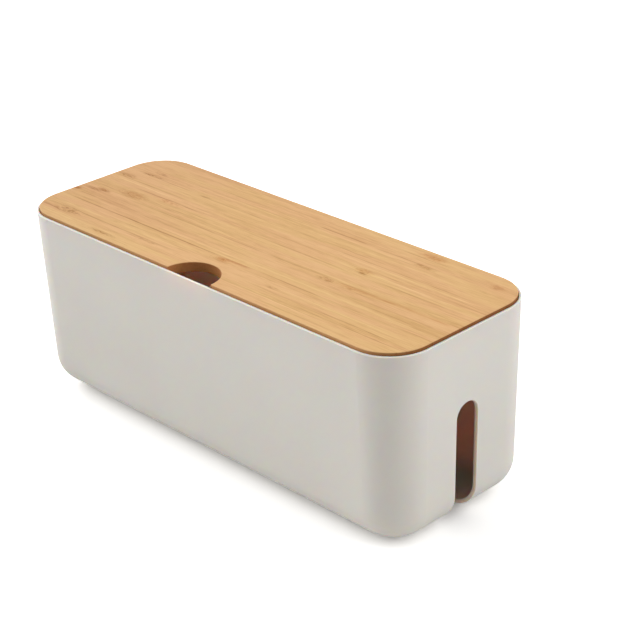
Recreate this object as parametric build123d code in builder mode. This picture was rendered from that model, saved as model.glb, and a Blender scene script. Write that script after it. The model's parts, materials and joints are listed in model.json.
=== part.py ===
"""Cable management box: a moulded open box with a cable slot in each end, a lift-off lid glued up from
bamboo strips, and four pads underneath.

Millimetres. +X runs along the box, +Z up. The origin lies on the surface that the box stands on, under
its middle. The front, with the finger notch, faces -Y.
"""
import os
from math import ceil, isclose, radians, tan

from build123d import *

# Outside of the moulded box, measured over its rim
BOX_LENGTH = 295.0
BOX_WIDTH = 108.5
BOX_HEIGHT = 110.3
CORNER_RADIUS = 24.5
BOTTOM_EDGE_RADIUS = 18.0
OUTER_DRAFT = 1.5

# Walls
RIM_WALL = 2.8
FLOOR_THICKNESS = 2.4
INNER_DRAFT = 1.3
LIP_THICKNESS = 1.3
RIM_EDGE_RADIUS = 0.4

# Lid
LID_THICKNESS = 5.5
LID_PROUD = 1.6
LID_CLEARANCE = 0.35
LID_EDGE_RADIUS = 0.4
LID_STRIP_WIDTH = 19.4
NOTCH_RADIUS = 17.0

# Cable slots, one through each end wall and on into the floor
SLOT_WIDTH = 15.8
SLOT_HEIGHT = 69.5
SLOT_RUN = 30.0
SLOT_EDGE_RADIUS = 0.5

# Anti-slip pads, set in from the edge of the underside's flat
PAD_RADIUS = 7.0
PAD_THICKNESS = 2.0
PAD_EDGE_RADIUS = 0.5
PAD_INSET = 3.0

# Cutting tools run this far past what they cut, and places this close count as the same
OVERRUN = 5.0
SAME_PLACE = 0.01

# Heights
floor_underside = PAD_THICKNESS
floor_top = floor_underside + FLOOR_THICKNESS
rim_height = floor_underside + BOX_HEIGHT
lid_seat = rim_height + LID_PROUD - LID_THICKNESS

# Lid outline: the opening inside the rim's lip, less the clearance all round
opening_length = BOX_LENGTH - 2 * LIP_THICKNESS
opening_width = BOX_WIDTH - 2 * LIP_THICKNESS
opening_radius = CORNER_RADIUS - LIP_THICKNESS
lid_length = opening_length - 2 * LID_CLEARANCE
lid_width = opening_width - 2 * LID_CLEARANCE
lid_radius = opening_radius - LID_CLEARANCE

# The lid's strips are full width from the back; the front one is what is left of the lid's width
full_strip_count = ceil(lid_width / LID_STRIP_WIDTH) - 1
front_strip_width = lid_width - full_strip_count * LID_STRIP_WIDTH

# Cavity outline at the rim, and its bottom edge, which follows the outer one at the floor's thickness
cavity_length = BOX_LENGTH - 2 * RIM_WALL
cavity_width = BOX_WIDTH - 2 * RIM_WALL
cavity_radius = CORNER_RADIUS - RIM_WALL
cavity_depth = rim_height - floor_top
cavity_edge_radius = BOTTOM_EDGE_RADIUS - FLOOR_THICKNESS

# Slot: a round-topped opening whose straight sides run from the end wall to the slot's round inner end
slot_radius = SLOT_WIDTH / 2
slot_top = floor_underside + SLOT_HEIGHT
slot_spring = slot_top - slot_radius
slot_inner_centre = BOX_LENGTH / 2 - SLOT_RUN + slot_radius

# The flat of the underside, inside the draft and the rounded bottom edge, and the pads' places on it
underside_margin = BOX_HEIGHT * tan(radians(OUTER_DRAFT)) + BOTTOM_EDGE_RADIUS
pad_x = BOX_LENGTH / 2 - underside_margin - PAD_INSET - PAD_RADIUS
pad_y = BOX_WIDTH / 2 - underside_margin - PAD_INSET - PAD_RADIUS

os.makedirs("parts", exist_ok=True)


def write(part, name):
    """Label a finished piece and write it to its own file."""
    part.label = name
    export_step(part, f"parts/{name}.step")


def is_slot_rim(edge):
    """True for an edge that a slot cuts in the outside or the inside of the box.

    The two sorts of line where a slot's straight and round walls meet smoothly are left out.
    """
    middle = edge.center()
    beside_slot = abs(middle.Y) < slot_radius + SLOT_EDGE_RADIUS and middle.Z < slot_top + SLOT_EDGE_RADIUS
    outside_inner_end = abs(middle.X) > slot_inner_centre - slot_radius - SLOT_EDGE_RADIUS
    under_arch = isclose(middle.Z, slot_spring, abs_tol=SAME_PLACE)
    at_inner_round = isclose(abs(middle.X), slot_inner_centre, abs_tol=SAME_PLACE)
    return beside_slot and outside_inner_end and not under_arch and not at_inner_round


# The space inside the box, open at the top
with BuildPart() as cavity:
    with BuildSketch(Plane.XY.offset(rim_height)):
        RectangleRounded(cavity_length, cavity_width, cavity_radius)
    extrude(amount=-cavity_depth, taper=INNER_DRAFT)
    fillet(cavity.edges().group_by(Axis.Z)[0], cavity_edge_radius)

# The space of the two cable slots: a round-topped passage through the end wall, which reaches down
# through the floor and ends there in a half-round
with BuildPart() as slots:
    with BuildSketch(Plane.YZ.offset(slot_inner_centre)):
        with Locations((0, slot_spring)):
            Circle(slot_radius)
            Rectangle(SLOT_WIDTH, slot_spring + OVERRUN, align=(Align.CENTER, Align.MAX))
    extrude(amount=SLOT_RUN)
    with BuildSketch(Plane.XY.offset(floor_top + OVERRUN)):
        with Locations((slot_inner_centre, 0)):
            Circle(slot_radius)
    extrude(amount=-floor_top - 2 * OVERRUN)
    mirror(about=Plane.YZ)

# The moulded box: walls drafted from the rim down, a rounded bottom edge, and a thin lip round the lid
# whose foot is the step that carries it
with BuildPart() as box_shell:
    with BuildSketch(Plane.XY.offset(rim_height)):
        RectangleRounded(BOX_LENGTH, BOX_WIDTH, CORNER_RADIUS)
    extrude(amount=-BOX_HEIGHT, taper=OUTER_DRAFT)
    fillet(box_shell.edges().group_by(Axis.Z)[0], BOTTOM_EDGE_RADIUS)
    add(cavity.part, mode=Mode.SUBTRACT)
    with BuildSketch(Plane.XY.offset(lid_seat)):
        RectangleRounded(opening_length, opening_width, opening_radius)
    extrude(amount=BOX_HEIGHT, mode=Mode.SUBTRACT)
    fillet(box_shell.edges().group_by(Axis.Z)[-1], RIM_EDGE_RADIUS)
    add(slots.part, mode=Mode.SUBTRACT)
    fillet(box_shell.edges().filter_by(is_slot_rim), SLOT_EDGE_RADIUS)
write(box_shell.part, "box_shell")

# The lid board before it is divided: rounded corners, eased top edge and a half-round finger notch
with BuildPart() as lid_board:
    with BuildSketch(Plane.XY.offset(lid_seat)):
        RectangleRounded(lid_length, lid_width, lid_radius)
        with Locations((0, -lid_width / 2)):
            Circle(NOTCH_RADIUS, mode=Mode.SUBTRACT)
    extrude(amount=LID_THICKNESS)
    fillet(lid_board.edges().group_by(Axis.Z)[-1], LID_EDGE_RADIUS)

# The full-width bamboo strips that the board is glued up from, numbered from the back
for number in range(full_strip_count):
    with BuildPart() as lid_strip:
        add(lid_board.part)
        with BuildSketch(Plane.XY.offset(lid_seat - OVERRUN)):
            with Locations((0, lid_width / 2 - number * LID_STRIP_WIDTH)):
                Rectangle(lid_length, LID_STRIP_WIDTH, align=(Align.CENTER, Align.MAX))
        extrude(amount=LID_THICKNESS + 2 * OVERRUN, mode=Mode.INTERSECT)
    write(lid_strip.part, f"lid_strip_{number + 1}")

# The front strip, trimmed to width with the board and cut in two by the notch
for name, side in (("lid_front_strip_left", -1), ("lid_front_strip_right", 1)):
    with BuildPart() as front_strip:
        add(lid_board.part)
        with BuildSketch(Plane.XY.offset(lid_seat - OVERRUN)):
            with Locations((side * lid_length / 4, -lid_width / 2)):
                Rectangle(lid_length / 2, front_strip_width, align=(Align.CENTER, Align.MIN))
        extrude(amount=LID_THICKNESS + 2 * OVERRUN, mode=Mode.INTERSECT)
    write(front_strip.part, name)

# Pads stuck to the flat of the underside, near its corners
pad_places = GridLocations(2 * pad_x, 2 * pad_y, 2, 2)
for number, place in enumerate(pad_places, start=1):
    with BuildPart() as pad:
        with BuildSketch():
            with Locations(place):
                Circle(PAD_RADIUS)
        extrude(amount=PAD_THICKNESS)
        fillet(pad.edges().group_by(Axis.Z)[0], PAD_EDGE_RADIUS)
    write(pad.part, f"anti_slip_pad_{number}")
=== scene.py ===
"""Looks of the cable management box: the finish of the moulded box, of the bamboo strips of its lid and of
its pads, and the studio that it stands in.

Metres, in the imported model's frame: +X runs along the box, +Z is up and the finger notch faces -Y. The
materials work in millimetres, on coordinates that are scaled once at the start of each.
"""

import json
from collections import namedtuple
from math import pi, radians

import bpy
from mathutils import Color, Matrix, Vector


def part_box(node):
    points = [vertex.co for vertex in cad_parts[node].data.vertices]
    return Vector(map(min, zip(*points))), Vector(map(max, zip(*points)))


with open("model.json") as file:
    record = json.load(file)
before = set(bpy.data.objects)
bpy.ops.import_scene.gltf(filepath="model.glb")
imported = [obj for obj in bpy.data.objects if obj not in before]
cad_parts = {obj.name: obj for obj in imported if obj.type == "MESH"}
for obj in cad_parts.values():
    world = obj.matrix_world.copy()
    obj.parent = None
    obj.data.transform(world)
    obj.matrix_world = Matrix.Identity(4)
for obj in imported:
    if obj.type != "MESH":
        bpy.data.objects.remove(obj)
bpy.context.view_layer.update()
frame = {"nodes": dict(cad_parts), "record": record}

MM_PER_M = 1000.0
RIGHT_ANGLE = 90.0

# ---------------------------------------------------------------------------------------------------------
# Colours, as they look on a screen
# ---------------------------------------------------------------------------------------------------------

SCREEN_WHITE = 255.0


def on_screen(red, green, blue):
    """A colour given in screen values up to 255, made linear for a shader."""
    screen = Color((red / SCREEN_WHITE, green / SCREEN_WHITE, blue / SCREEN_WHITE))
    return (*screen.from_srgb_to_scene_linear(), 1.0)


PLASTIC_COLOUR = on_screen(224, 220, 213)
PLASTIC_SHADE_COLOUR = on_screen(218, 213, 206)
# Painted highlight: the rim's top is lighter than the plastic
RIM_HIGHLIGHT_COLOUR = on_screen(255, 231, 221)
# Painted warm light on the slots' cut walls, lighter and warmer than the plastic
SLOT_WALL_LIGHT_COLOUR = on_screen(247, 224, 204)
# Painted highlight on the slots' eased edges
SLOT_EDGE_HIGHLIGHT_COLOUR = on_screen(236, 231, 224)

BAMBOO_DARK = on_screen(191, 142, 89)
BAMBOO_BODY = on_screen(221, 176, 123)
BAMBOO_LIGHT = on_screen(234, 194, 140)

RUBBER_COLOUR = on_screen(148, 147, 143)
RUBBER_SHADE_COLOUR = on_screen(132, 131, 127)

# Painted tints that the plastic's colour is multiplied by on the outside and on the inside of the walls near
# the rim, to offset the glow where red light passes through the thin lip from the one to the other
OUTER_LIP_GLOW_OFFSET_TINT = (1.05, 0.985, 0.985, 1.0)
INNER_LIP_GLOW_OFFSET_TINT = (0.93, 1.02, 1.10, 1.0)

# Painted warm shade: what the plastic's colour is multiplied by low inside the box, where the least light
# comes through the walls
LOW_INSIDE_SHADE_TINT = (1.0, 0.95, 0.86, 1.0)

# What the bamboo's own colour is multiplied by in its marks and glue lines and where its hue shifts; the
# painted shade towards its -X end; and where it is cut, which is the cut grain's darker tone with painted
# shade, and painted shade alone on the notch's wall
BROWN_TINT = (0.46, 0.27, 0.03, 1.0)
RED_TINT = (0.65, 0.38, 0.14, 1.0)
PALE_TINT = (1.11, 1.20, 1.22, 1.0)
# Painted shade, darker towards the lid's -X end
LEFT_END_SHADE_TINT = (0.94, 0.92, 0.94, 1.0)
GLUE_TINT = (0.60, 0.42, 0.18, 1.0)
ROSY_TINT = (1.01, 0.985, 1.0, 1.0)
GOLDEN_TINT = (0.995, 1.01, 0.95, 1.0)
# The cut grain's darker tone with painted shade, on the sides and the ends
SIDE_EDGE_GRAIN_AND_SHADE_TINT = (0.68, 0.59, 0.53, 1.0)
END_GRAIN_AND_SHADE_TINT = (0.38, 0.25, 0.18, 1.0)
# Painted shade on the notch's wall
NOTCH_WALL_SHADE_TINT = (0.58, 0.39, 0.28, 1.0)


# ---------------------------------------------------------------------------------------------------------
# Building node trees
# ---------------------------------------------------------------------------------------------------------

# Which of a Mix node's inputs, and which of its outputs, are the ones for colours
MIX_FACTOR, MIX_FIRST, MIX_SECOND = 0, 6, 7
MIX_RESULT = 2

# What a noise varies about, and how many finer layers it adds to its largest one, where it is to look smooth
# or uneven
NOISE_MIDDLE = 0.5
SMOOTH, UNEVEN = 1.0, 2.0

# What the sockets of a node group carry, and where coordinates start
VECTOR, FLOAT = "NodeSocketVector", "NodeSocketFloat"
ORIGIN = (0.0, 0.0, 0.0)


def place(tree, kind, inputs=(), **settings):
    """Add a node, set it up, and give its inputs a value or a link from another node's output."""
    node = tree.nodes.new(kind)
    for name, value in settings.items():
        setattr(node, name, value)
    for key, value in dict(inputs).items():
        if isinstance(value, bpy.types.NodeSocket):
            tree.links.new(value, node.inputs[key])
        else:
            node.inputs[key].default_value = value
    return node


def maths(tree, operation, *values):
    """The result of a sum on one to three numbers."""
    return place(tree, "ShaderNodeMath", enumerate(values), operation=operation).outputs["Value"]


def product(tree, first, second):
    """One number times another."""
    return maths(tree, "MULTIPLY", first, second)


def rest_of(tree, share):
    """What a share leaves of the whole."""
    return maths(tree, "SUBTRACT", 1.0, share)


def vector_maths(tree, operation, *values, result="Vector"):
    """What a sum on one or two vectors gives: a vector, or its Value, a number."""
    return place(tree, "ShaderNodeVectorMath", enumerate(values), operation=operation).outputs[result]


def split(tree, vector):
    """The X, Y and Z of a vector."""
    return place(tree, "ShaderNodeSeparateXYZ", {"Vector": vector}).outputs


def joined(tree, x, y, z):
    """A vector from its X, Y and Z."""
    return place(tree, "ShaderNodeCombineXYZ", {"X": x, "Y": y, "Z": z}).outputs["Vector"]


def ramp(tree, value, start, end, low=0.0, high=1.0):
    """A number that goes smoothly from low to high as value goes from start to end."""
    inputs = {"Value": value, "From Min": start, "From Max": end, "To Min": low, "To Max": high}
    return place(tree, "ShaderNodeMapRange", inputs, interpolation_type="SMOOTHSTEP").outputs["Result"]


def mixed(tree, factor, first, second, blend="MIX"):
    """The first colour turned into the second, or blended with it, by factor."""
    inputs = {MIX_FACTOR: factor, MIX_FIRST: first, MIX_SECOND: second}
    node = place(tree, "ShaderNodeMix", inputs, data_type="RGBA", blend_type=blend, clamp_factor=True)
    return node.outputs[MIX_RESULT]


def shades(tree, value, stops):
    """A colour looked up along evenly spaced stops, from the first at 0 to the last at 1."""
    node = place(tree, "ShaderNodeValToRGB", {"Fac": value})
    while len(node.color_ramp.elements) < len(stops):
        node.color_ramp.elements.new(1.0)
    for number, (stop, colour) in enumerate(zip(node.color_ramp.elements, stops)):
        stop.position = number / (len(stops) - 1)
        stop.color = colour
    return node.outputs["Color"]


def noise(tree, vector, detail, roughness=0.5):
    """Smooth noise from 0 to 1, one cell to each unit of the vector."""
    inputs = {"Vector": vector, "Scale": 1.0, "Detail": detail, "Roughness": roughness}
    return place(tree, "ShaderNodeTexNoise", inputs, noise_dimensions="3D").outputs["Fac"]


def swing(tree, value):
    """How far a noise is above or below its middle."""
    return maths(tree, "SUBTRACT", value, NOISE_MIDDLE)


def stretched(tree, vector, length, width):
    """Coordinates for a pattern whose marks are length long along X and width wide across it."""
    return vector_maths(tree, "MULTIPLY", vector, (1 / length, 1 / width, 1 / width))


def new_group(name, inputs, outputs):
    """A shader node group with these inputs and outputs, and the sockets at its two ends."""
    tree = bpy.data.node_groups.new(name, "ShaderNodeTree")
    for socket, (kind, default) in inputs.items():
        tree.interface.new_socket(socket, in_out="INPUT", socket_type=kind).default_value = default
    for socket, kind in outputs.items():
        tree.interface.new_socket(socket, in_out="OUTPUT", socket_type=kind)
    return tree, tree.nodes.new("NodeGroupInput").outputs, tree.nodes.new("NodeGroupOutput").inputs


def grouped(tree, group, inputs):
    """The outputs of a node group placed in a tree."""
    return place(tree, "ShaderNodeGroup", inputs, node_tree=group).outputs


def new_material(name):
    """A new material, its empty node tree, its coordinates in millimetres and its surface normal."""
    material = bpy.data.materials.new(name)
    material.use_nodes = True
    tree = material.node_tree
    tree.nodes.clear()
    metres = place(tree, "ShaderNodeTexCoord").outputs["Object"]
    millimetres = vector_maths(tree, "MULTIPLY", metres, (MM_PER_M, MM_PER_M, MM_PER_M))
    normal = place(tree, "ShaderNodeNewGeometry").outputs["Normal"]
    return material, tree, millimetres, normal


def finish_surface(tree, inputs, height, bump_depth, bump_strength):
    """Give a material its Principled surface, with a bump of that depth in metres."""
    bump = {"Height": height, "Distance": bump_depth, "Strength": bump_strength}
    normal = place(tree, "ShaderNodeBump", bump).outputs["Normal"]
    shader = place(tree, "ShaderNodeBsdfPrincipled", {**inputs, "Normal": normal})
    place(tree, "ShaderNodeOutputMaterial", {"Surface": shader.outputs["BSDF"]})


# ---------------------------------------------------------------------------------------------------------
# Effects that materials share
# ---------------------------------------------------------------------------------------------------------

def make_mould_texture():
    """The fine even texture that a mould leaves: its height, and a slow change of tone over the piece.

    Grain is how wide a mark of the texture is.
    """
    fine_detail, fine_share = 3.0, 0.7
    slow_length = 60.0
    tree, given, wanted = new_group(
        "mould_texture",
        {"Vector": (VECTOR, ORIGIN), "Grain": (FLOAT, 0.5)},
        {"Height": FLOAT, "Tone": FLOAT},
    )
    per_grain = maths(tree, "DIVIDE", 1.0, given["Grain"])
    scaled = place(tree, "ShaderNodeVectorMath", {0: given["Vector"], "Scale": per_grain}, operation="SCALE")
    fine = noise(tree, scaled.outputs["Vector"], fine_detail, fine_share)
    slow = noise(tree, stretched(tree, given["Vector"], slow_length, slow_length), UNEVEN)
    tree.links.new(fine, wanted["Height"])
    tree.links.new(slow, wanted["Tone"])
    return tree


def make_fibres():
    """Bamboo's long fibres along X: their tone, the short dark dashes where bundles end, and their height.

    A band of fibres has a length, a width and a share in the tone. The last and finest one gives the height.
    """
    meander_length, meander = 80.0, 1.4
    bands = ((180.0, 8.0, 0.66), (90.0, 2.8, 0.40), (26.0, 1.0, 0.46), (9.0, 0.42, 0.64))
    dash_length, dash_width, dash_from, dash_to = 7.0, 0.34, 0.66, 0.80
    tree, given, wanted = new_group(
        "bamboo_fibres",
        {"Vector": (VECTOR, ORIGIN), "Offset": (VECTOR, ORIGIN)},
        {"Tone": FLOAT, "Dash": FLOAT, "Height": FLOAT},
    )
    moved = vector_maths(tree, "ADD", given["Vector"], given["Offset"])
    wave = noise(tree, stretched(tree, moved, meander_length, meander_length), SMOOTH)
    aside = product(tree, swing(tree, wave), meander)
    moved = vector_maths(tree, "ADD", moved, joined(tree, 0.0, aside, 0.0))
    tone = NOISE_MIDDLE
    for length, width, share in bands:
        layer = swing(tree, noise(tree, stretched(tree, moved, length, width), SMOOTH))
        tone = maths(tree, "MULTIPLY_ADD", layer, share, tone)
    dashes = noise(tree, stretched(tree, moved, dash_length, dash_width), SMOOTH)
    tree.links.new(tone, wanted["Tone"])
    tree.links.new(ramp(tree, dashes, dash_from, dash_to), wanted["Dash"])
    tree.links.new(layer, wanted["Height"])
    return tree


def from_centre(tree, given):
    """Where a point lies from the centre of a mark, as shares of the mark's half size."""
    away = vector_maths(tree, "SUBTRACT", given["Vector"], given["Centre"])
    return vector_maths(tree, "DIVIDE", away, given["Half size"])


def make_knot():
    """One knot in a strip: its mask, and the course of the fibres turned aside by it.

    Half size is the knot's half length and half width. Broken splits it into flecks, Ring draws the outline
    of an eye round it, and Push is how far it turns the fibres.
    """
    wander_length, wander_width, wander = 8.0, 1.8, 0.7
    fleck_length, fleck_width, fleck_from, fleck_to = 3.2, 0.75, 0.46, 0.56
    core_from, core_to = 1.0, 0.1
    ring_count, ring_from, ring_to, ring_end = 2.6, 0.42, 0.05, 1.35
    swirl_length, swirl_width, swirl = 6.0, 3.0, 2.4
    tree, given, wanted = new_group(
        "bamboo_knot",
        {
            "Vector": (VECTOR, ORIGIN),
            "Course": (VECTOR, ORIGIN),
            "Centre": (VECTOR, ORIGIN),
            "Half size": (VECTOR, (1.0, 1.0, 1.0)),
            "Strength": (FLOAT, 0.5),
            "Broken": (FLOAT, 0.0),
            "Ring": (FLOAT, 0.0),
            "Push": (FLOAT, 0.0),
        },
        {"Course": VECTOR, "Mask": FLOAT},
    )
    away = split(tree, from_centre(tree, given))
    plain_reach = vector_maths(tree, "LENGTH", joined(tree, away["X"], away["Y"], 0.0), result="Value")
    edge = noise(tree, stretched(tree, given["Vector"], wander_length, wander_width), UNEVEN)
    reach = maths(tree, "MULTIPLY_ADD", swing(tree, edge), wander, plain_reach)
    core = ramp(tree, reach, core_from, core_to)
    spread = noise(tree, stretched(tree, given["Vector"], fleck_length, fleck_width), UNEVEN)
    flecks = ramp(tree, spread, fleck_from, fleck_to)
    gap = product(tree, rest_of(tree, flecks), given["Broken"])
    filled = product(tree, core, rest_of(tree, gap))
    wave = maths(tree, "ABSOLUTE", maths(tree, "SINE", product(tree, reach, ring_count * pi)))
    ring = product(tree, ramp(tree, wave, ring_from, ring_to), ramp(tree, reach, ring_end, core_to))
    ring = product(tree, ring, given["Ring"])
    mask = product(tree, maths(tree, "MAXIMUM", filled, ring), given["Strength"])

    wave = noise(tree, stretched(tree, given["Vector"], swirl_length, swirl_width), SMOOTH)
    turn = product(tree, swing(tree, wave), swirl)
    aside = product(tree, maths(tree, "SUBTRACT", turn, away["Y"]), given["Push"])
    aside = product(tree, aside, product(tree, core, split(tree, given["Half size"])["Y"]))
    course = vector_maths(tree, "ADD", given["Course"], joined(tree, 0.0, aside, 0.0))
    tree.links.new(course, wanted["Course"])
    tree.links.new(mask, wanted["Mask"])
    return tree


def make_streak():
    """One long dark or pale line among the fibres, which fades at both ends and is broken here and there."""
    end_from = 0.55
    break_length, break_width, break_from, break_to = 14.0, 0.8, 0.40, 0.62
    tree, given, wanted = new_group(
        "bamboo_streak",
        {
            "Vector": (VECTOR, ORIGIN),
            "Centre": (VECTOR, ORIGIN),
            "Half size": (VECTOR, (1.0, 1.0, 1.0)),
            "Strength": (FLOAT, 0.5),
            "Broken": (FLOAT, 0.5),
        },
        {"Mask": FLOAT},
    )
    off = split(tree, vector_maths(tree, "ABSOLUTE", from_centre(tree, given)))
    line = product(tree, ramp(tree, off["X"], 1.0, end_from), ramp(tree, off["Y"], 1.0, 0.0))
    breaks = noise(tree, stretched(tree, given["Vector"], break_length, break_width), SMOOTH)
    gap = product(tree, ramp(tree, breaks, break_to, break_from), given["Broken"])
    mask = product(tree, line, rest_of(tree, gap))
    tree.links.new(product(tree, mask, given["Strength"]), wanted["Mask"])
    return tree


def make_glue_line():
    """The thin line where a strip is glued to its neighbour, stronger in some places than in others."""
    line_half_width = 0.45
    change_length, change_from, change_to, weakest = 38.0, 0.38, 0.62, 0.1
    tree, given, wanted = new_group(
        "glue_line",
        {"Vector": (VECTOR, ORIGIN), "Seam Y": (FLOAT, 0.0), "Strength": (FLOAT, 0.3)},
        {"Mask": FLOAT},
    )
    from_seam = maths(tree, "SUBTRACT", split(tree, given["Vector"])["Y"], given["Seam Y"])
    line = ramp(tree, maths(tree, "ABSOLUTE", from_seam), line_half_width, 0.0)
    along = noise(tree, stretched(tree, given["Vector"], change_length, change_length), UNEVEN)
    strength = product(tree, ramp(tree, along, change_from, change_to, weakest), given["Strength"])
    tree.links.new(product(tree, line, strength), wanted["Mask"])
    return tree


MOULD_TEXTURE = make_mould_texture()
FIBRES = make_fibres()
KNOT = make_knot()
STREAK = make_streak()
GLUE_LINE = make_glue_line()


# ---------------------------------------------------------------------------------------------------------
# The moulded box
# ---------------------------------------------------------------------------------------------------------

def slot_edges(tree, vector, end_x):
    """Masks of the slots' cut walls and of their eased edges, by how far they are from a slot's middle line.

    A slot's sides are straight from its round inner end to the end wall, and up to where its arch springs.
    """
    half_width, top_z, run = 7.9, 71.5, 30.0
    fade, edge_width = 0.25, 0.5
    inner_centre, spring_z = end_x - run + half_width, top_z - half_width
    spot = split(tree, vector)
    past_centre = maths(tree, "SUBTRACT", maths(tree, "ABSOLUTE", spot["X"]), inner_centre)
    short_of_centre = maths(tree, "MINIMUM", past_centre, 0.0)
    above_spring = maths(tree, "MAXIMUM", maths(tree, "SUBTRACT", spot["Z"], spring_z), 0.0)
    off = joined(tree, short_of_centre, spot["Y"], above_spring)
    off_middle = vector_maths(tree, "LENGTH", off, result="Value")
    wall = ramp(tree, off_middle, half_width + fade, half_width)
    all_cut = ramp(tree, off_middle, half_width + edge_width + fade, half_width + edge_width)
    return wall, maths(tree, "SUBTRACT", all_cut, wall)


def make_moulded_plastic():
    """Warm light-grey plastic with a fine matt texture, whose thin walls let some light glow through.

    The rim and the slots' eased edges are smoother than the rest and carry a painted highlight, and the
    slots' cut walls carry painted warm light. The walls near the rim carry painted tints that offset the
    glow's colour there, and the low part of the inside carries painted warm shade. Low down, the inside is
    told from the outside by its draft, which makes its walls face up a little.
    """
    grain, bump_depth, bump_strength = 0.55, 0.00003, 0.35
    roughness, roughness_change, edge_smoothness = 0.5, 0.06, 0.14
    glow = {"Subsurface Weight": 0.9, "Subsurface Radius": (1.0, 0.54, 0.24), "Subsurface Scale": 0.0040}
    rim_depth, rim_fade, slot_wall_light_share = 0.3, 0.2, 0.75
    lip_depth_from, lip_depth_to = 13.0, 0.5
    low_from, low_to, facing_up = 50.0, 10.0, 0.02
    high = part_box("box_shell")[1] * MM_PER_M
    material, tree, vector, normal = new_material("moulded_plastic")

    height = split(tree, vector)["Z"]
    rim = ramp(tree, height, high.z - rim_depth - rim_fade, high.z - rim_depth)
    lip = ramp(tree, height, high.z - lip_depth_from, high.z - lip_depth_to)
    from_middle = vector_maths(tree, "MULTIPLY", vector, (1.0, 1.0, 0.0))
    outward = vector_maths(tree, "DOT_PRODUCT", from_middle, normal, result="Value")
    faces_in = maths(tree, "LESS_THAN", outward, 0.0)
    lip_glow_offset_tint = mixed(tree, faces_in, OUTER_LIP_GLOW_OFFSET_TINT, INNER_LIP_GLOW_OFFSET_TINT)
    inside = ramp(tree, split(tree, normal)["Z"], 0.0, facing_up)
    low_inside_shade = product(tree, inside, ramp(tree, height, low_from, low_to))
    slot_wall, slot_edge = slot_edges(tree, vector, high.x)
    edge = maths(tree, "MAXIMUM", rim, slot_edge)

    texture = grouped(tree, MOULD_TEXTURE, {"Vector": vector, "Grain": grain})
    colour = mixed(tree, texture["Tone"], PLASTIC_COLOUR, PLASTIC_SHADE_COLOUR)
    # Painted tints near the rim that offset the glow's colour
    colour = mixed(tree, lip, colour, lip_glow_offset_tint, blend="MULTIPLY")
    # Painted warm shade low inside the box
    colour = mixed(tree, low_inside_shade, colour, LOW_INSIDE_SHADE_TINT, blend="MULTIPLY")
    # Painted warm light on the slots' cut walls
    colour = mixed(tree, product(tree, slot_wall, slot_wall_light_share), colour, SLOT_WALL_LIGHT_COLOUR)
    # Painted highlight on the slots' eased edges
    colour = mixed(tree, slot_edge, colour, SLOT_EDGE_HIGHLIGHT_COLOUR)
    # Painted highlight along the rim
    colour = mixed(tree, rim, colour, RIM_HIGHLIGHT_COLOUR)
    dull = maths(tree, "MULTIPLY_ADD", swing(tree, texture["Height"]), roughness_change, roughness)
    dull = maths(tree, "MULTIPLY_ADD", edge, -edge_smoothness, dull)
    surface = {"Base Color": colour, "Roughness": dull, **glow}
    finish_surface(tree, surface, texture["Height"], bump_depth, bump_strength)
    return material


# ---------------------------------------------------------------------------------------------------------
# The bamboo lid
# ---------------------------------------------------------------------------------------------------------

# A knot in the bamboo: what it tints the wood with, where its middle is and its half size in millimetres,
# how strong it is, and how far it is broken into flecks, drawn as an eye, and pushes the fibres aside
Knot = namedtuple("Knot", "tint x y half_length half_width strength broken ring push")

# A long line among the fibres: its tint, from where to where along X, at what Y, its half width, how strong
# it is, and how far it is broken, which is by half if nothing else is said
Streak = namedtuple("Streak", "tint from_x to_x y half_width strength broken", defaults=(0.5,))

# A strip: how light it is beside its neighbours, its knots and its streaks
Strip = namedtuple("Strip", "lightness knots streaks")

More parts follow.
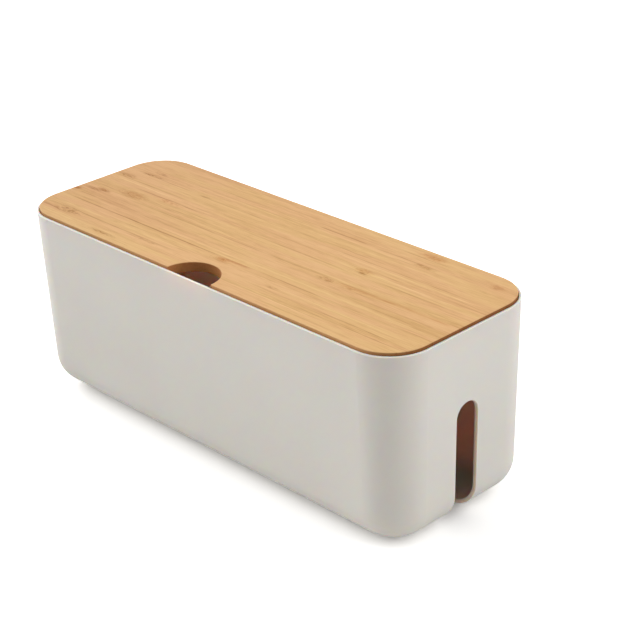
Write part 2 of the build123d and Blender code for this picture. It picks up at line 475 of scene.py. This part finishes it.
STRIPS = {
    "lid_strip_1": Strip(-0.02, [
        Knot(BROWN_TINT, 85.0, 35.2, 11.5, 2.8, 0.54, 0.6, 0.0, 0.5),
        Knot(RED_TINT, 81.0, 47.2, 13.5, 4.6, 0.68, 0.45, 0.2, 0.7),
        Knot(RED_TINT, 130.0, 41.2, 7.0, 4.4, 0.34, 0.45, 0.9, 0.9),
        Knot(BROWN_TINT, -113.0, 36.0, 10.0, 0.9, 0.35, 0.5, 0.0, 0.2),
    ], [
        Streak(BROWN_TINT, -125.0, 15.0, 43.5, 0.8, 0.20),
        Streak(BROWN_TINT, -86.0, -26.0, 37.3, 0.8, 0.34),
        Streak(BROWN_TINT, 4.0, 46.0, 37.2, 0.9, 0.62, 0.3),
        Streak(BROWN_TINT, 45.0, 100.0, 36.4, 0.9, 0.42),
        Streak(BROWN_TINT, 62.0, 104.0, 33.3, 0.7, 0.36),
        Streak(BROWN_TINT, 60.0, 100.0, 43.6, 0.8, 0.40),
        Streak(PALE_TINT, -138.0, -96.0, 40.4, 1.0, 0.50),
        Streak(PALE_TINT, 5.0, 118.0, 39.5, 0.9, 0.60),
    ]),
    "lid_strip_2": Strip(0.0, [
        Knot(BROWN_TINT, -124.0, 25.5, 15.0, 2.2, 0.74, 0.7, 0.0, 0.5),
        Knot(BROWN_TINT, -121.5, 30.6, 9.0, 1.9, 0.62, 0.8, 0.0, 0.4),
        Knot(BROWN_TINT, -136.0, 16.2, 10.0, 4.0, 0.62, 0.7, 0.2, 0.9),
        Knot(BROWN_TINT, -74.0, 24.0, 7.0, 1.2, 0.50, 0.5, 0.0, 0.3),
    ], [
        Streak(BROWN_TINT, -122.0, -84.0, 24.4, 0.8, 0.36),
        Streak(BROWN_TINT, -90.0, -16.0, 23.4, 0.8, 0.34),
        Streak(BROWN_TINT, -26.0, 70.0, 24.6, 0.7, 0.24),
        Streak(BROWN_TINT, 4.0, 138.0, 20.8, 0.8, 0.34),
        Streak(BROWN_TINT, -128.0, -76.0, 14.0, 0.9, 0.42, 0.3),
        Streak(PALE_TINT, -116.0, 10.0, 31.6, 1.0, 0.75, 0.4),
        Streak(PALE_TINT, -20.0, 140.0, 29.3, 0.9, 0.42),
        Streak(PALE_TINT, -115.0, -76.0, 18.5, 0.9, 0.65),
        Streak(PALE_TINT, 34.0, 144.0, 18.3, 1.0, 0.90, 0.3),
    ]),
    "lid_strip_3": Strip(0.0, [
        Knot(RED_TINT, -109.0, -1.6, 15.0, 5.4, 0.50, 0.7, 0.8, 1.3),
        Knot(RED_TINT, -85.0, 5.0, 16.0, 3.4, 0.55, 0.8, 0.0, 0.8),
        Knot(RED_TINT, 65.5, 11.0, 7.5, 3.8, 0.66, 0.5, 0.7, 1.0),
        Knot(BROWN_TINT, 66.0, 8.6, 5.0, 1.8, 0.76, 0.3, 0.0, 0.5),
    ], [
        Streak(BROWN_TINT, -118.0, -58.0, 6.7, 0.9, 0.62),
        Streak(BROWN_TINT, -26.0, 62.0, 5.5, 0.9, 0.40),
        Streak(BROWN_TINT, 74.0, 140.0, 6.1, 0.9, 0.38),
        Streak(BROWN_TINT, -86.0, -44.0, 2.6, 0.8, 0.26),
        Streak(PALE_TINT, -147.0, -76.0, 11.0, 1.3, 1.00, 0.2),
        Streak(PALE_TINT, 34.0, 144.0, 10.8, 1.5, 0.80, 0.3),
        Streak(PALE_TINT, -84.0, -44.0, 9.0, 0.9, 0.50),
        Streak(PALE_TINT, -56.0, -10.0, -3.9, 0.9, 0.50),
        Streak(PALE_TINT, 72.0, 144.0, -2.9, 1.1, 0.75, 0.4),
    ]),
    "lid_strip_4": Strip(-0.02, [
        Knot(BROWN_TINT, -129.0, -7.8, 8.0, 2.8, 0.76, 0.5, 0.0, 0.9),
        Knot(BROWN_TINT, -136.0, -10.0, 12.0, 2.2, 0.50, 0.7, 0.0, 0.6),
        Knot(RED_TINT, -143.5, -15.4, 4.0, 2.8, 0.95, 0.2, 0.3, 0.6),
        Knot(BROWN_TINT, 57.0, -8.8, 9.0, 3.0, 0.60, 0.7, 0.4, 0.9),
        Knot(RED_TINT, 74.0, -9.0, 20.0, 3.2, 0.34, 0.7, 0.0, 0.6),
    ], [
        Streak(BROWN_TINT, -116.0, 60.0, -7.0, 0.8, 0.40, 0.6),
        Streak(RED_TINT, 60.0, 108.0, -7.4, 1.8, 0.50, 0.4),
        Streak(RED_TINT, 92.0, 145.0, -6.9, 1.3, 0.56, 0.5),
        Streak(BROWN_TINT, 96.0, 130.0, -17.9, 0.6, 0.34),
        Streak(BROWN_TINT, -140.0, -122.0, -17.4, 0.8, 0.34),
        Streak(PALE_TINT, 36.0, 142.0, -15.4, 1.1, 0.75, 0.4),
        Streak(PALE_TINT, -44.0, 34.0, -16.8, 0.9, 0.55),
        Streak(PALE_TINT, -84.0, 30.0, -21.6, 1.2, 0.75, 0.4),
        Streak(PALE_TINT, 4.0, 140.0, -20.8, 0.9, 0.52),
    ]),
    "lid_strip_5": Strip(0.0, [
        Knot(RED_TINT, -1.5, -27.8, 8.5, 3.4, 0.78, 0.5, 0.8, 1.0),
        Knot(RED_TINT, 8.0, -25.8, 13.0, 1.8, 0.66, 0.3, 0.0, 0.4),
        Knot(BROWN_TINT, -121.0, -39.8, 17.0, 4.6, 0.46, 0.8, 0.2, 1.1),
        Knot(BROWN_TINT, 43.5, -34.3, 8.0, 2.0, 0.50, 0.7, 0.0, 0.5),
        Knot(BROWN_TINT, -55.0, -38.6, 18.0, 1.4, 0.40, 0.7, 0.0, 0.4),
    ], [
        Streak(BROWN_TINT, -148.0, -60.0, -25.2, 0.8, 0.45),
        Streak(BROWN_TINT, -88.0, 0.0, -25.3, 1.0, 0.60, 0.3),
        Streak(BROWN_TINT, 36.0, 72.0, -25.4, 0.9, 0.50, 0.3),
        Streak(BROWN_TINT, 66.0, 140.0, -25.6, 0.8, 0.26),
        Streak(BROWN_TINT, -146.0, -20.0, -37.4, 0.9, 0.55, 0.4),
        Streak(BROWN_TINT, 20.0, 142.0, -37.9, 0.9, 0.36),
        Streak(BROWN_TINT, -146.0, -112.0, -41.8, 0.9, 0.55, 0.3),
        Streak(BROWN_TINT, 60.0, 144.0, -41.7, 0.8, 0.36),
        Streak(PALE_TINT, -147.0, -20.0, -33.4, 1.2, 0.90, 0.3),
        Streak(PALE_TINT, 18.0, 144.0, -32.9, 1.1, 0.70, 0.4),
        Streak(PALE_TINT, -128.0, 70.0, -29.6, 0.9, 0.50),
        Streak(PALE_TINT, 12.0, 60.0, -43.0, 0.9, 0.50),
    ]),
    "lid_front_strip": Strip(0.10, [
        Knot(BROWN_TINT, -80.0, -47.4, 15.0, 2.1, 0.72, 0.6, 0.6, 0.7),
    ], [
        Streak(PALE_TINT, -142.0, -102.0, -47.2, 1.1, 0.80, 0.4),
        Streak(PALE_TINT, 14.0, 84.0, -44.8, 1.0, 0.60, 0.4),
        Streak(BROWN_TINT, 40.0, 118.0, -48.6, 0.8, 0.26),
        Streak(BROWN_TINT, -104.0, -50.0, -49.6, 0.7, 0.26),
    ]),
}

# How dark the glue line along each full strip's front edge is, from the back of the lid
SEAM_STRENGTHS = (0.15, 0.40, 0.36, 0.48, 0.20)

STRIP_OF_NODE = {"lid_front_strip_left": "lid_front_strip", "lid_front_strip_right": "lid_front_strip"}


def notch_wall(tree, vector, front_y):
    """A mask of all that lies within the notch's round, which is cut at the middle of the front edge."""
    notch_radius, reach, fade = 17.0, 0.5, 0.4
    spot = split(tree, vector)
    off = joined(tree, spot["X"], maths(tree, "SUBTRACT", spot["Y"], front_y), 0.0)
    off_middle = vector_maths(tree, "LENGTH", off, result="Value")
    return ramp(tree, off_middle, notch_radius + reach + fade, notch_radius + reach)


def make_marks(tree, vector, strip, seams):
    """The course of a strip's fibres past its knots, and a mask and a tint for each of its marks."""
    course, marks = vector, []
    for knot in strip.knots:
        made = grouped(tree, KNOT, {
            "Vector": vector,
            "Course": course,
            "Centre": (knot.x, knot.y, 0.0),
            "Half size": (knot.half_length, knot.half_width, 1.0),
            "Strength": knot.strength,
            "Broken": knot.broken,
            "Ring": knot.ring,
            "Push": knot.push,
        })
        course = made["Course"]
        marks.append((made["Mask"], knot.tint))
    for streak in strip.streaks:
        made = grouped(tree, STREAK, {
            "Vector": course,
            "Centre": ((streak.from_x + streak.to_x) / 2, streak.y, 0.0),
            "Half size": ((streak.to_x - streak.from_x) / 2, streak.half_width, 1.0),
            "Strength": streak.strength,
            "Broken": streak.broken,
        })
        marks.append((made["Mask"], streak.tint))
    for seam_y, strength in seams:
        made = grouped(tree, GLUE_LINE, {"Vector": vector, "Seam Y": seam_y, "Strength": strength})
        marks.append((made["Mask"], GLUE_TINT))
    return course, marks


def cut_edges(tree, vector, normal, front_y, top_z):
    """A mask of the lid's cut sides, its ends and the notch's wall, and a tint for each of them: the cut
    grain's darker tone with painted shade on the sides and ends, and painted shade on the notch's wall.
    """
    edge_from, edge_to, underside_facing = 0.10, 0.40, -0.7
    facing = split(tree, normal)
    below_top = maths(tree, "SUBTRACT", top_z, split(tree, vector)["Z"])
    not_underside = maths(tree, "GREATER_THAN", facing["Z"], underside_facing)
    cut = product(tree, ramp(tree, below_top, edge_from, edge_to), not_underside)
    # The sides and ends carry the cut grain's darker tone with painted shade
    tint = mixed(tree, maths(tree, "ABSOLUTE", facing["X"]), SIDE_EDGE_GRAIN_AND_SHADE_TINT, END_GRAIN_AND_SHADE_TINT)
    # The notch's wall carries painted shade
    return cut, mixed(tree, notch_wall(tree, vector, front_y), tint, NOTCH_WALL_SHADE_TINT)


def make_bamboo(name, strip, seams, front_y, top_z, offset):
    """Sanded and thinly oiled bamboo for one strip, with its own marks, tone and stretch of fibres.

    Seams holds the place and the strength of each of its glue lines, front_y and top_z are where the lid
    ends, and offset picks the stretch of fibres.
    """
    dash_share = 0.28
    hue_length, hue_width, hue_from, hue_to = 70.0, 9.0, 0.40, 0.60
    shade_from, shade_to = -20.0, -130.0
    roughness, dash_roughness, cut_roughness, shine = 0.56, 0.10, 0.14, 0.15
    bump_depth, bump_strength = 0.00006, 0.35
    material, tree, vector, normal = new_material(name)
    course, marks = make_marks(tree, vector, strip, seams)
    fibres = grouped(tree, FIBRES, {"Vector": course, "Offset": offset})
    marks.append((product(tree, fibres["Dash"], dash_share), BROWN_TINT))

    tone = maths(tree, "ADD", fibres["Tone"], strip.lightness)
    colour = shades(tree, tone, (BAMBOO_DARK, BAMBOO_BODY, BAMBOO_LIGHT))
    moved = vector_maths(tree, "ADD", course, offset)
    hue = ramp(tree, noise(tree, stretched(tree, moved, hue_length, hue_width), UNEVEN), hue_from, hue_to)
    colour = mixed(tree, 1.0, colour, mixed(tree, hue, ROSY_TINT, GOLDEN_TINT), blend="MULTIPLY")
    # Painted shade, darker towards the -X end
    left_end_shade = ramp(tree, split(tree, vector)["X"], shade_from, shade_to)
    colour = mixed(tree, left_end_shade, colour, LEFT_END_SHADE_TINT, blend="MULTIPLY")
    for mask, tint in marks:
        colour = mixed(tree, mask, colour, tint, blend="MULTIPLY")
    cut, cut_grain_and_shade_tint = cut_edges(tree, vector, normal, front_y, top_z)
    # The cut grain's darker tone with painted shade on the sides and ends, and painted shade on the notch's
    # wall
    colour = mixed(tree, cut, colour, cut_grain_and_shade_tint, blend="MULTIPLY")

    dull = maths(tree, "MULTIPLY_ADD", fibres["Dash"], dash_roughness, roughness)
    dull = maths(tree, "MULTIPLY_ADD", cut, cut_roughness, dull)
    surface = {"Base Color": colour, "Roughness": dull, "Specular IOR Level": shine}
    finish_surface(tree, surface, fibres["Height"], bump_depth, bump_strength)
    return material


# ---------------------------------------------------------------------------------------------------------
# The pads
# ---------------------------------------------------------------------------------------------------------

def make_pad_rubber():
    """Soft grey rubber with a finer and deeper texture than the box's."""
    grain, bump_depth, bump_strength = 0.35, 0.00005, 0.5
    roughness = 0.75
    material, tree, vector, _ = new_material("pad_rubber")
    texture = grouped(tree, MOULD_TEXTURE, {"Vector": vector, "Grain": grain})
    colour = mixed(tree, texture["Height"], RUBBER_SHADE_COLOUR, RUBBER_COLOUR)
    surface = {"Base Color": colour, "Roughness": roughness}
    finish_surface(tree, surface, texture["Height"], bump_depth, bump_strength)
    return material


# ---------------------------------------------------------------------------------------------------------
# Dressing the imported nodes
# ---------------------------------------------------------------------------------------------------------

def dress(node_name, material):
    """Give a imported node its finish."""
    for slot in frame["nodes"][node_name].material_slots:
        slot.link = "OBJECT"
        slot.material = material


def dress_lid():
    """Give each strip bamboo of its own: its marks, its glue lines and fibres that no other strip has."""
    fibre_step, same_place, decimals = Vector((310.0, 47.0, 23.0)), 0.1, 1
    lid_nodes = frame["record"]["behaviour"]["bodies"]["lid"]
    boxes = {node: [corner * MM_PER_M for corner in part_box(node)] for node in lid_nodes}
    lows, highs = zip(*boxes.values())
    front_y = min(low.y for low in lows)
    top_z = max(high.z for high in highs)
    strip_fronts = {round(low.y, decimals) for low in lows}
    seam_places = sorted(strip_fronts - {round(front_y, decimals)}, reverse=True)
    made = {}
    for node, (low, high) in boxes.items():
        name = STRIP_OF_NODE.get(node, node)
        if name not in made:
            seams = [(seam_y, strength) for seam_y, strength in zip(seam_places, SEAM_STRENGTHS)
                     if min(abs(seam_y - low.y), abs(seam_y - high.y)) < same_place]
            offset = fibre_step * len(made)
            made[name] = make_bamboo("bamboo_" + name, STRIPS[name], seams, front_y, top_z, offset)
        dress(node, made[name])


dress("box_shell", make_moulded_plastic())
dress_lid()
pad_rubber = make_pad_rubber()
for node_name in frame["nodes"]:
    if node_name.startswith("anti_slip_pad"):
        dress(node_name, pad_rubber)


# ---------------------------------------------------------------------------------------------------------
# Studio
# ---------------------------------------------------------------------------------------------------------

def make_world():
    """A plain white surround: dim for lighting, full white where it is seen or reflected."""
    white, dome_strength = (1.0, 1.0, 1.0, 1.0), 0.42
    world = bpy.data.worlds.new("studio")
    bpy.context.scene.world = world
    world.use_nodes = True
    tree = world.node_tree
    tree.nodes.clear()
    rays = place(tree, "ShaderNodeLightPath").outputs
    seen = maths(tree, "MAXIMUM", rays["Is Camera Ray"], rays["Is Glossy Ray"])
    seen = maths(tree, "MAXIMUM", seen, rays["Is Transmission Ray"])
    strength = maths(tree, "MULTIPLY_ADD", seen, 1.0 - dome_strength, dome_strength)
    background = place(tree, "ShaderNodeBackground", {"Color": white, "Strength": strength})
    place(tree, "ShaderNodeOutputWorld", {"Surface": background.outputs["Background"]})


def make_floor():
    """A wide pale floor, brighter to the camera than to other rays, so that it runs into the white."""
    half_width = 4.0
    floor_colour = (0.80, 0.80, 0.79, 1.0)
    seen_colour = (1.5, 1.5, 1.5, 1.0)
    material = bpy.data.materials.new("studio_floor")
    material.use_nodes = True
    tree = material.node_tree
    tree.nodes.clear()
    is_seen = place(tree, "ShaderNodeLightPath").outputs["Is Camera Ray"]
    colour = mixed(tree, is_seen, floor_colour, seen_colour)
    surface = place(tree, "ShaderNodeBsdfDiffuse", {"Color": colour}).outputs["BSDF"]
    place(tree, "ShaderNodeOutputMaterial", {"Surface": surface})

    mesh = bpy.data.meshes.new("studio_floor")
    corners = [(-half_width, -half_width, 0), (half_width, -half_width, 0),
               (half_width, half_width, 0), (-half_width, half_width, 0)]
    mesh.from_pydata(corners, [], [(0, 1, 2, 3)])
    mesh.materials.append(material)
    floor = bpy.data.objects.new("studio_floor", mesh)
    bpy.context.scene.collection.objects.link(floor)


# A soft light: where it comes from, as degrees round from +X towards +Y and degrees up, how bright a white
# face square to it looks, and how many degrees wide it is
Lamp = namedtuple("Lamp", "name round_from_x up brightness spread")
LAMPS = (
    Lamp("left", -162.0, 22.0, 0.83, 60.0),
    Lamp("right_back", 44.0, 31.0, 0.52, 60.0),
)


def make_lamp(lamp):
    """A wide, distant soft light."""
    data = bpy.data.lights.new(lamp.name, "SUN")
    data.energy = lamp.brightness * pi
    data.angle = radians(lamp.spread)
    light = bpy.data.objects.new(lamp.name, data)
    bpy.context.scene.collection.objects.link(light)
    light.rotation_euler = (radians(RIGHT_ANGLE - lamp.up), 0.0, radians(RIGHT_ANGLE + lamp.round_from_x))


def make_camera():
    """A long lens, from the front right and above, tilted a little about its own line of sight."""
    stand = Vector((0.6528, -0.5784, 0.4962))
    heading, downward, roll = radians(137.664), radians(26.806), radians(-2.683)
    lens_mm, sensor_mm = 99.39, 36.0
    shift_right, shift_up = 0.0469, 0.0313
    quarter_turn, matrix_size = radians(RIGHT_ANGLE), 4
    data = bpy.data.cameras.new("camera")
    data.lens, data.sensor_width = lens_mm, sensor_mm
    data.shift_x, data.shift_y = shift_right, shift_up
    camera = bpy.data.objects.new("camera", data)
    bpy.context.scene.collection.objects.link(camera)
    turn = Matrix.Rotation(heading - quarter_turn, matrix_size, "Z")
    tip = Matrix.Rotation(quarter_turn - downward, matrix_size, "X")
    tilt = Matrix.Rotation(roll, matrix_size, "Z")
    camera.matrix_world = Matrix.Translation(stand) @ turn @ tip @ tilt
    bpy.context.scene.camera = camera


make_world()
make_floor()
for lamp in LAMPS:
    make_lamp(lamp)
make_camera()
bpy.context.scene.view_settings.view_transform = "Standard"
